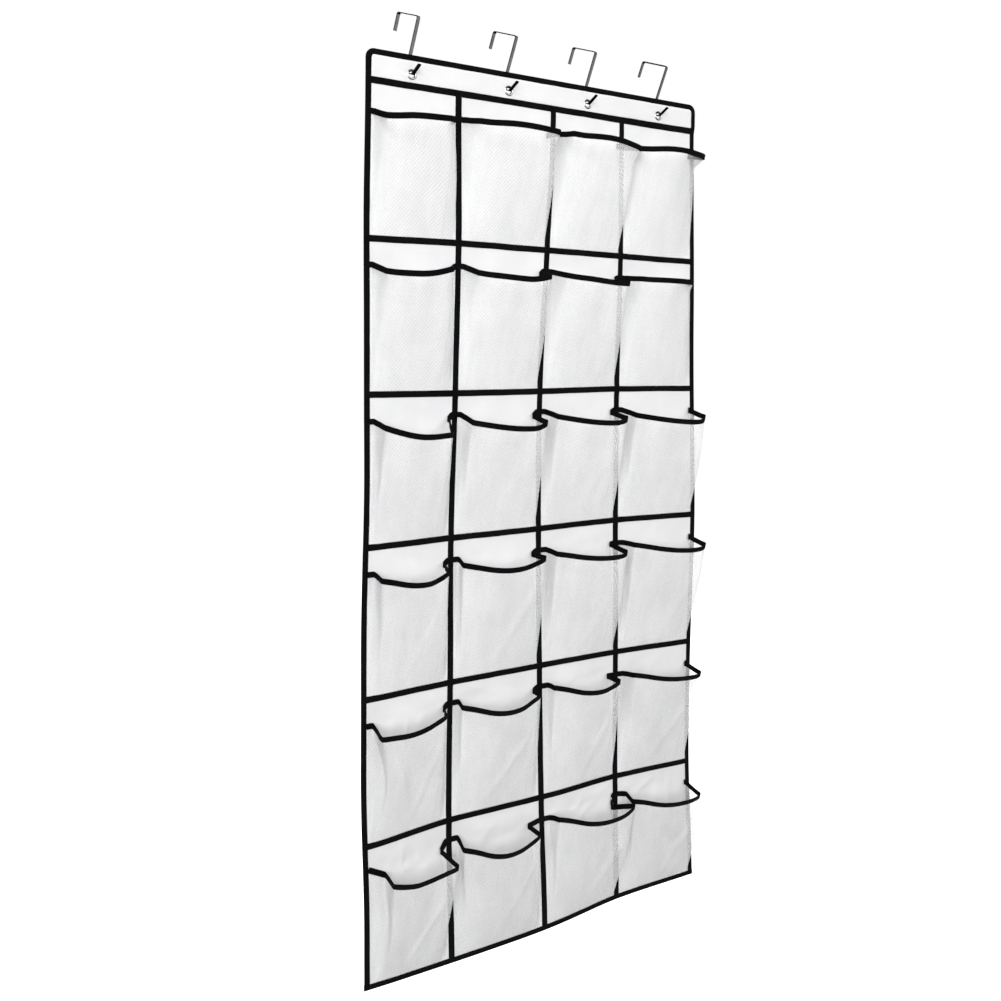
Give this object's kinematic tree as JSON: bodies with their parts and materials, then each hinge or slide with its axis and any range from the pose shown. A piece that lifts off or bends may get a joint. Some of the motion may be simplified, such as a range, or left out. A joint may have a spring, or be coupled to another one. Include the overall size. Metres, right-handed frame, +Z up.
{
  "type": "over-the-door shoe organizer",
  "caption": "Hanging fabric shoe organizer with rows of white mesh pockets, black bound edges and rims, and steel strip hooks that hang it over a door.",
  "frame": {"origin": "the middle of the sheet's top edge, on the plane of the door face that the sheet hangs against", "axes": "+Z up, -Y towards the user, so that the pockets open on the -Y side and the hooks reach back along +Y, and +X to the user's right"},
  "size_m": [0.64, 0.0892, 1.5258],
  "materials": {
    "white_sheet": "matte plain-weave white cloth",
    "white_mesh": "fine see-through white net with a soft sheen",
    "black_tape": "ribbed black binding tape",
    "polished_steel": "bright polished steel strip",
    "nickel": "bright nickel plate"
  },
  "bodies": {
    "panel": {"back_sheet": "white_sheet", "header_facing": "white_sheet", "edge_binding": "black_tape", "bottom_binding": "black_tape", "pocket_r1_c1": "white_mesh", "pocket_r1_c2": "white_mesh", "pocket_r1_c3": "white_mesh", "pocket_r1_c4": "white_mesh", "pocket_r2_c1": "white_mesh", "pocket_r2_c2": "white_mesh", "pocket_r2_c3": "white_mesh", "pocket_r2_c4": "white_mesh", "pocket_r3_c1": "white_mesh", "pocket_r3_c2": "white_mesh", "pocket_r3_c3": "white_mesh", "pocket_r3_c4": "white_mesh", "pocket_r4_c1": "white_mesh", "pocket_r4_c2": "white_mesh", "pocket_r4_c3": "white_mesh", "pocket_r4_c4": "white_mesh", "pocket_r5_c1": "white_mesh", "pocket_r5_c2": "white_mesh", "pocket_r5_c3": "white_mesh", "pocket_r5_c4": "white_mesh", "pocket_r6_c1": "white_mesh", "pocket_r6_c2": "white_mesh", "pocket_r6_c3": "white_mesh", "pocket_r6_c4": "white_mesh", "rim_tape_1": "black_tape", "rim_tape_2": "black_tape", "rim_tape_3": "black_tape", "rim_tape_4": "black_tape", "rim_tape_5": "black_tape", "rim_tape_6": "black_tape", "header_tape": "black_tape", "row_tape_1": "black_tape", "row_tape_2": "black_tape", "row_tape_3": "black_tape", "row_tape_4": "black_tape", "row_tape_5": "black_tape", "divider_tape_1": "black_tape", "divider_tape_2": "black_tape", "divider_tape_3": "black_tape", "grommet_1": "nickel", "grommet_2": "nickel", "grommet_3": "nickel", "grommet_4": "nickel", "grommet_washer_1": "nickel", "grommet_washer_2": "nickel", "grommet_washer_3": "nickel", "grommet_washer_4": "nickel"},
    "hook_1": {"hook_1": "polished_steel"},
    "hook_2": {"hook_2": "polished_steel"},
    "hook_3": {"hook_3": "polished_steel"},
    "hook_4": {"hook_4": "polished_steel"}
  },
  "joints": [
    {"name": "hook_1_tilt", "type": "hinge", "parent": "panel", "child": "hook_1", "pos_m": [-0.24, -0.0016, -0.0208], "axis": [1, 0, 0], "range_deg": [-42, 0]},
    {"name": "hook_2_tilt", "type": "hinge", "parent": "panel", "child": "hook_2", "pos_m": [-0.07, -0.0016, -0.0208], "axis": [1, 0, 0], "range_deg": [-42, 0]},
    {"name": "hook_3_tilt", "type": "hinge", "parent": "panel", "child": "hook_3", "pos_m": [0.084, -0.0016, -0.0208], "axis": [1, 0, 0], "range_deg": [-42, 0]},
    {"name": "hook_4_tilt", "type": "hinge", "parent": "panel", "child": "hook_4", "pos_m": [0.235, -0.0016, -0.0208], "axis": [1, 0, 0], "range_deg": [-42, 0]}
  ]
}
